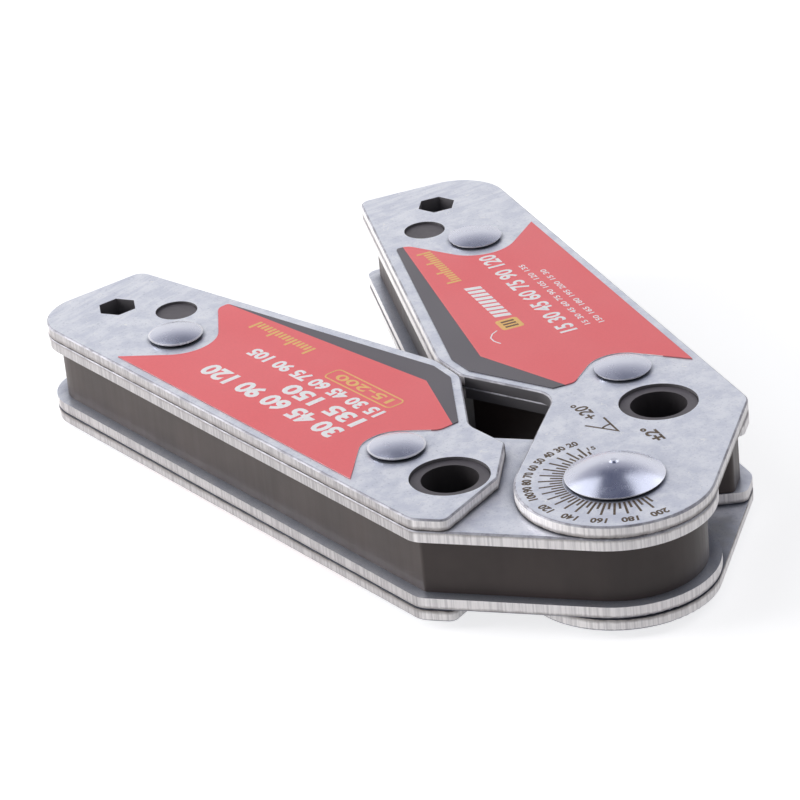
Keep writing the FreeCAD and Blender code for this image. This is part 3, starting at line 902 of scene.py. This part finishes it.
@dataclass(frozen=True)
class Inks:
    """The inks that the print and the dial share."""

    white: Material
    yellow: Material
    brown: Material
    burnt: Material

    @classmethod
    def mixed(cls) -> "Inks":
        """Mix the inks.

        Returns:
            All of them, ready to use.
        """
        return cls(
            white=Ink("white_ink", paint(254, 253, 254), paint(248, 241, 243)).build(),
            yellow=Ink("yellow_ink", paint(250, 203, 124), paint(240, 178, 116)).build(),
            brown=Ink("brown_ink", paint(120, 84, 62), paint(140, 98, 70)).build(),
            burnt=Ink("burnt_mark", paint(92, 77, 61), paint(134, 118, 98), 0.5, 0.3).build(),
        )


# ---- Sub-assemblies ----


@dataclass
class Dial:
    """Angle scale round the pivot, burnt into the outer arm's top plate. Angles are in degrees."""

    ink: Material
    along_arm: float = 15.5
    inner_radius: float = 8.0
    long_radius: float = 11.66
    short_radius: float = 9.9
    long_marks: range = range(20, 201, 10)
    short_marks: range = range(15, 206, 10)
    figures_shown: tuple[int, ...] = (20, 30, 40, 50, 60, 70, 80, 90, 100, 120, 140, 160, 180, 200)
    figure_radius: float = 13.4
    figure_height: float = 1.5
    figure_weight: float = 0.035
    narrow: float = 0.9
    first_figure_radius: float = 10.7
    first_figure_angle: float = -5.0
    first_figure_share: float = 0.75
    sign_ends: tuple[Pair, ...] = ((19.1, -6.95), (13.8, -6.95), (18.1, -3.3))
    sign_arc_radius: float = 2.7
    sign_arc_angle: float = 40.0
    line: float = 0.36
    heights: Pair = (-0.03, 0.015)

    @staticmethod
    def set_out(shape: Marks, radius: float, angle: float) -> Marks:
        """Marks moved out to a radius in a direction, their heads outwards."""
        turn = np.radians(angle)
        return shape.moved(radius * np.cos(turn), radius * np.sin(turn), angle - 90)

    def figures(self) -> Marks:
        """The scale's numbers.

        Returns:
            Each number at its angle, and the first one, smaller, inside the ring of the others.
        """
        parts = []
        for number in self.figures_shown:
            widen = self.narrow if number < 100 else 1.0
            shape = numerals(str(number), self.figure_height, widen, self.figure_weight)
            parts.append(self.set_out(shape, self.figure_radius, number - self.along_arm))
        first = numerals("15", self.figure_height * self.first_figure_share, 1.1, 0.015)
        parts.append(self.set_out(first, self.first_figure_radius, self.first_figure_angle))
        return Marks.joined(parts)

    def lines(self) -> Marks:
        """The scale's lines.

        Returns:
            Long lines every ten degrees and short ones half way between.
        """
        sizes = ((self.long_marks, self.long_radius), (self.short_marks, self.short_radius))
        return Marks.joined([ticks(np.array(marks) - self.along_arm, self.inner_radius, outer,
                                   self.line) for marks, outer in sizes])

    def angle_sign(self) -> Marks:
        """The angle sign with its arc, and the plain figures beside it.

        Returns:
            Two straight arms, an arc round the corner between them, and two amounts.
        """
        arms = np.array(self.sign_ends)
        turn = np.radians(np.linspace(0, self.sign_arc_angle, 7))
        arc = arms[1] + self.sign_arc_radius * np.stack([np.cos(turn), np.sin(turn)], axis=1)
        return Marks.joined([
            band(arms, self.line),
            band(arc, self.line),
            numerals("+20°", 2.4, 1.0, 0.02).moved(22.6, -5.2),
            numerals("±2°", 2.3, 1.2, 0.03).moved(10.0, -11.0),
        ])

    def build(self) -> None:
        """Lay the scale on the plate."""
        plate = OUTER.node("outer_plate_top")
        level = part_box(plate.name)[1].z
        plane = DrawingPlane(OUTER, Face.TOP, level)
        for name, marks in (("dial_lines", self.lines()), ("dial_figures", self.figures()),
                            ("dial_angle_sign", self.angle_sign())):
            raise_marks(name, marks, plane, self.heights, self.ink)


@dataclass
class LabelPrint:
    """Generic print of one label: plain figures, stripes, a ruler and a tile with bars."""

    plane: DrawingPlane
    name: str
    inks: Inks
    heights: Pair = (-0.03, 0.02)
    tile_heights: Pair = (0.01, 0.04)
    ruler_marks: int = 16
    ruler_line: float = 0.55
    short_share: float = 0.6

    def lay(self, part: str, marks: list[Marks], ink: Material, heights: Pair) -> None:
        """Lay some marks of the print on the film."""
        raise_marks(f"{self.name}_{part}", Marks.joined(marks), self.plane, heights, ink)

    @staticmethod
    def row(words: str, height: float, middle: Pair, length: float, weight: float = 0.04) -> Marks:
        """A row of figures.

        Args:
            words: The figures.
            height: Their height.
            middle: Where the row's middle lies.
            length: The length to which it is drawn out.
            weight: How far the strokes grow, as a share of the height.

        Returns:
            The row.
        """
        figures = numerals(words, height, 1.0, weight)
        figures.points[:, 0] *= length / np.ptp(figures.points[:, 0])
        return figures.moved(*middle)

    def ruler(self, left: float, right: float, foot: float, head: float) -> Marks:
        """A row of short upright lines, every fifth of them full height.

        Args:
            left, right: Where the row begins and ends.
            foot, head: Where its longest lines begin and end.

        Returns:
            The lines.
        """
        lines = []
        for number, x in enumerate(np.linspace(left, right - self.ruler_line, self.ruler_marks)):
            top = head if number % 5 == 0 else foot + self.short_share * (head - foot)
            end = x + self.ruler_line
            lines.append([[x, foot], [end, foot], [end, top], [x, top]])
        return Marks.of_quads(np.array(lines))

    def ruled(self) -> None:
        """Rows of common angles, the range in a rounded frame, and a short ruler."""
        rows = (("30 45 60 90 120", 3.9, (61.2, 20.0), 35.4), ("135 150", 3.4, (53.3, 15.4), 19.4),
                ("15 30 45 60 75 90 105", 2.8, (60.9, 11.3), 34.6))
        self.lay("angles", [self.row(*row) for row in rows], self.inks.white, self.heights)
        self.lay("range", [
            band(rounded_box(44.3, 5.7, 61.6, 9.0, 0.9), 0.26, closed=True),
            self.row("15-200", 1.9, (52.9, 7.35), 14.0, 0.02),
            self.ruler(70.6, 86.0, 3.7, 6.4),
        ], self.inks.yellow, self.heights)

    def rated(self) -> None:
        """A tile of bars with stripes beside it, a row of angles, two fine rows and a ruler."""
        curl = np.array([[51.8, -3.7], [53.2, -3.1], [54.6, -3.1], [55.8, -3.9], [56.6, -5.1]])
        self.lay("angles", [
            stripes((60.8, -9.6, 74.6, -6.8), 9, 0.68, 0.6),
            self.row("15 30 45 60 75 90 120", 3.2, (67.3, -15.1), 34.8, 0.025),
            self.row("15 30 45 60 75 90 105 120 135", 1.05, (64.3, -18.75), 27.2, 0.01),
            self.row("150 165 180 195 200 15 30", 1.05, (62.2, -21.05), 24.0, 0.01),
            band(curl, 0.22),
        ], self.inks.white, self.heights)
        self.lay("tile", [
            filled(rounded_box(56.0, -9.9, 59.9, -6.0, 0.6)),
            self.ruler(77.8, 91.8, -7.8, -5.2),
        ], self.inks.yellow, self.heights)
        bars = stripes((56.7, -9.1, 59.2, -6.8), 3, 0.5, 0.0)
        self.lay("tile_bars", [bars], self.inks.brown, self.tile_heights)


@dataclass
class Arm:
    """One arm of the holder: its sheets, filling, magnets, rivets and labels."""

    place: ArmPlace
    field: tuple[Pair, ...]

    def dress(self, steel: Material, filling: Material, insert: Material, magnet: Material) -> None:
        """Give every solid of the arm its finish.

        Args:
            steel: The finish of its rivets.
            filling: Of its core.
            insert: Of its sleeve and peg.
            magnet: Of its magnets.
        """
        sheet = ZincSheet().build(self.place)
        film = LabelFilm().build(self.place, self.field)
        finishes = {
            "core": filling, "bore_sleeve": insert, "locating_peg": insert,
            "heel_magnet": magnet, "tip_magnet": magnet, "heel_rivet": steel, "tip_rivet": steel,
        }
        for face in Face:
            finishes[f"label_{face.value}"] = film
            finishes[f"inner_plate_{face.value}"] = sheet
            finishes[f"outer_plate_{face.value}"] = sheet
        for piece, finish in finishes.items():
            coat(self.place.node(piece), finish)
        LOG.info("dressed %s", self.place.body)

    def print_labels(self, inks: Inks) -> None:
        """Lay the print on both labels: the arms are alike, but one is turned over.

        Args:
            inks: The shared inks.
        """
        for face in Face:
            film = self.place.node(f"label_{face.value}").name
            low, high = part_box(film)
            level = high.z if face is Face.TOP else low.z
            plane = DrawingPlane(self.place, face, level)
            label = LabelPrint(plane, film, inks)
            if plane.handed() > 0:
                label.ruled()
            else:
                label.rated()


def coat(node: bpy.types.Object, finish: Material) -> None:
    """Put a finish in every material slot of a CAD node.

    Args:
        node: The CAD node.
        finish: The material.
    """
    for slot in node.material_slots:
        slot.link = "OBJECT"
        slot.material = finish


# ---- Studio ----


@dataclass(frozen=True)
class Lamp:
    """A soft rectangular lamp that looks at the holder.

    Its offset runs to the camera's right, towards the camera, and up; offset and size are in
    metres, the power in watts.
    """

    name: str
    offset: Triple
    size: Pair
    power: float
    colour: Colour


@dataclass
class Studio:
    """White floor and surroundings, soft lamps and the camera.

    Places are in metres, angles in degrees, and the lens and sensor in millimetres. The gloss
    stops give what gloss sees from the horizon up to overhead.
    """

    eye: Triple = (-0.4377, 0.2620, 0.2888)
    heading: float = -27.415
    pitch: float = -26.42
    roll: float = -5.87
    lens: float = 172.0
    sensor: float = 36.0
    clip: Pair = (0.01, 50.0)
    floor_radius: float = 4.0
    floor_corners: int = 64
    floor_drop: float = 0.00002
    floor_tone: Colour = (0.55, 0.55, 0.56)
    floor_glow: float = 0.72
    ambient: float = 0.5
    gloss_stops: tuple[tuple[float, Colour], ...] = (
        (0.0, (1.0, 0.99, 0.98)), (0.4, (1.0, 0.99, 0.99)), (0.6, (0.5, 0.5, 0.56)),
        (0.78, (0.11, 0.12, 0.18)), (1.0, (0.11, 0.12, 0.18)))
    lit_place: Triple = (0.05, 0.0, 0.01)
    lamps: tuple[Lamp, ...] = (
        Lamp("key_lamp", (-0.7, -0.06, 0.2), (0.4, 0.4), 4.9, (1.0, 0.985, 0.96)),
        Lamp("left_panel", (-0.5, -0.16, 0.6), (0.8, 0.66), 1.9, (0.97, 0.98, 1.0)),
        Lamp("right_panel", (0.5, -0.16, 0.6), (0.66, 0.6), 1.4, (0.97, 0.98, 1.0)))

    def directions(self) -> tuple[np.ndarray, np.ndarray, np.ndarray]:
        """The camera's directions before its roll.

        Returns:
            Unit vectors forward, right and up.
        """
        heading, pitch = np.radians(self.heading), np.radians(self.pitch)
        forward = np.array([np.cos(pitch) * np.cos(heading), np.cos(pitch) * np.sin(heading),
                            np.sin(pitch)])
        right = np.array([np.sin(heading), -np.cos(heading), 0.0])
        return forward, right, np.cross(right, forward)

    def add_camera(self) -> None:
        """The camera: its frame is turned about the line of sight by the roll."""
        forward, right, up = self.directions()
        roll = np.radians(self.roll)
        across = np.cos(roll) * right + np.sin(roll) * up
        upright = -np.sin(roll) * right + np.cos(roll) * up
        data = bpy.data.cameras.new("camera")
        data.lens = self.lens
        data.sensor_width = self.sensor
        data.clip_start, data.clip_end = self.clip
        camera = add_object("camera", data)
        turned = Matrix((across, upright, -forward)).transposed()
        camera.matrix_world = Matrix.Translation(self.eye) @ turned.to_4x4()
        bpy.context.scene.camera = camera

    def add_lamp(self, lamp: Lamp) -> None:
        """Set up a lamp.

        Args:
            lamp: Its place, size and light.
        """
        _, right, _ = self.directions()
        toward = np.array([right[1], -right[0], 0.0])
        middle = np.array(self.lit_place)
        aside, nearer, higher = lamp.offset
        place = Vector(middle + aside * right + nearer * toward + [0, 0, higher])
        data = bpy.data.lights.new(lamp.name, "AREA")
        data.shape = "RECTANGLE"
        data.size, data.size_y = lamp.size
        data.energy = lamp.power
        data.color = lamp.colour
        light = add_object(lamp.name, data)
        light.location = place
        light.rotation_euler = (Vector(middle) - place).to_track_quat("-Z", "Y").to_euler()

    def add_floor(self) -> None:
        """A pale disc: a ring of points round a middle, just under the rivets' tails."""
        turn = np.linspace(0, 2 * np.pi, self.floor_corners, endpoint=False)
        ring = self.floor_radius * np.stack([np.cos(turn), np.sin(turn), 0 * turn], axis=1)
        points = np.vstack([[[0.0, 0.0, 0.0]], ring]) - [0.0, 0.0, self.floor_drop]
        index = np.arange(self.floor_corners)
        faces = np.stack([0 * index, index + 1, (index + 1) % self.floor_corners + 1], axis=1)
        material = bpy.data.materials.new("pale_floor")
        tree = ShaderTree(material)
        diffuse = tree.node("BsdfDiffuse", {"Color": self.floor_tone})
        strength = tree.times(tree.seen_directly(), self.floor_glow)
        glow = tree.node("Emission", {"Strength": strength})
        both = tree.node("AddShader", {0: diffuse.outputs[0], 1: glow.outputs[0]})
        tree.node("OutputMaterial", {"Surface": both.outputs[0]})
        floor = add_mesh("floor", points, faces, material)

    def add_surroundings(self) -> None:
        """White all round for the camera and for gloss, with a dim blue-grey band overhead."""
        world = bpy.data.worlds.new("surroundings")
        bpy.context.scene.world = world
        tree = ShaderTree(world)
        place = tree.node("TexCoord").outputs["Generated"]
        parts = tree.node("SeparateXYZ", {0: place})
        ramp = tree.node("ValToRGB", {0: parts.outputs[2]})
        ramp.color_ramp.interpolation = "EASE"
        while len(ramp.color_ramp.elements) < len(self.gloss_stops):
            ramp.color_ramp.elements.new(0.5)
        for element, (at, colour) in zip(ramp.color_ramp.elements, self.gloss_stops):
            element.position = at
            element.color = (*colour, 1.0)
        seen = tree.node("LightPath").outputs["Is Camera Ray"]
        feeds = {"Value": tree.seen_directly(), "To Min": self.ambient}
        strength = tree.node("MapRange", feeds)
        shine = tree.node("Background", {
            "Color": tree.mix(seen, ramp.outputs[0], WHITE), "Strength": strength.outputs[0]})
        tree.node("OutputWorld", {"Surface": shine.outputs[0]})

    def build(self) -> None:
        """Set up everything that is not the holder."""
        bpy.context.scene.view_settings.view_transform = "Standard"
        self.add_camera()
        self.add_floor()
        self.add_surroundings()
        for lamp in self.lamps:
            self.add_lamp(lamp)
        LOG.info("studio ready")


def main() -> None:
    """Build the holder piece by piece, then the studio."""
    logging.basicConfig(level=logging.INFO, format="%(name)s: %(message)s")
    dome = PolishedSteel("polished_dome", 1.0, 0.22).build()
    heads = PolishedSteel("polished_heads", 0.78, 0.22).build()
    filling = MouldedPlastic("moulded_filling").build()
    # the insert's upright walls are mostly painted shade, dark inside the bore and round the peg
    insert = MouldedPlastic("insert_plastic", paint(94, 90, 95), nicks=0.0, walls=0.25).build()
    magnet = Ferrite().build()
    inks = Inks.mixed()
    arms = (Arm(INNER, ((96.1, 3.3), (47.6, -1.2), (32.5, 5.5))),
            Arm(OUTER, ((97.9, 4.7), (49.3, -1.0), (33.0, 6.2))))
    for arm in arms:
        arm.dress(heads, filling, insert, magnet)
        arm.print_labels(inks)
    coat(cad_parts["pivot_rivet"], dome)
    coat(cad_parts["inner_arm_pivot_bush"], dome)
    LOG.info("dressed the pivot")
    Dial(inks.burnt).build()
    Studio().build()


if __name__ == "__main__":
    main()
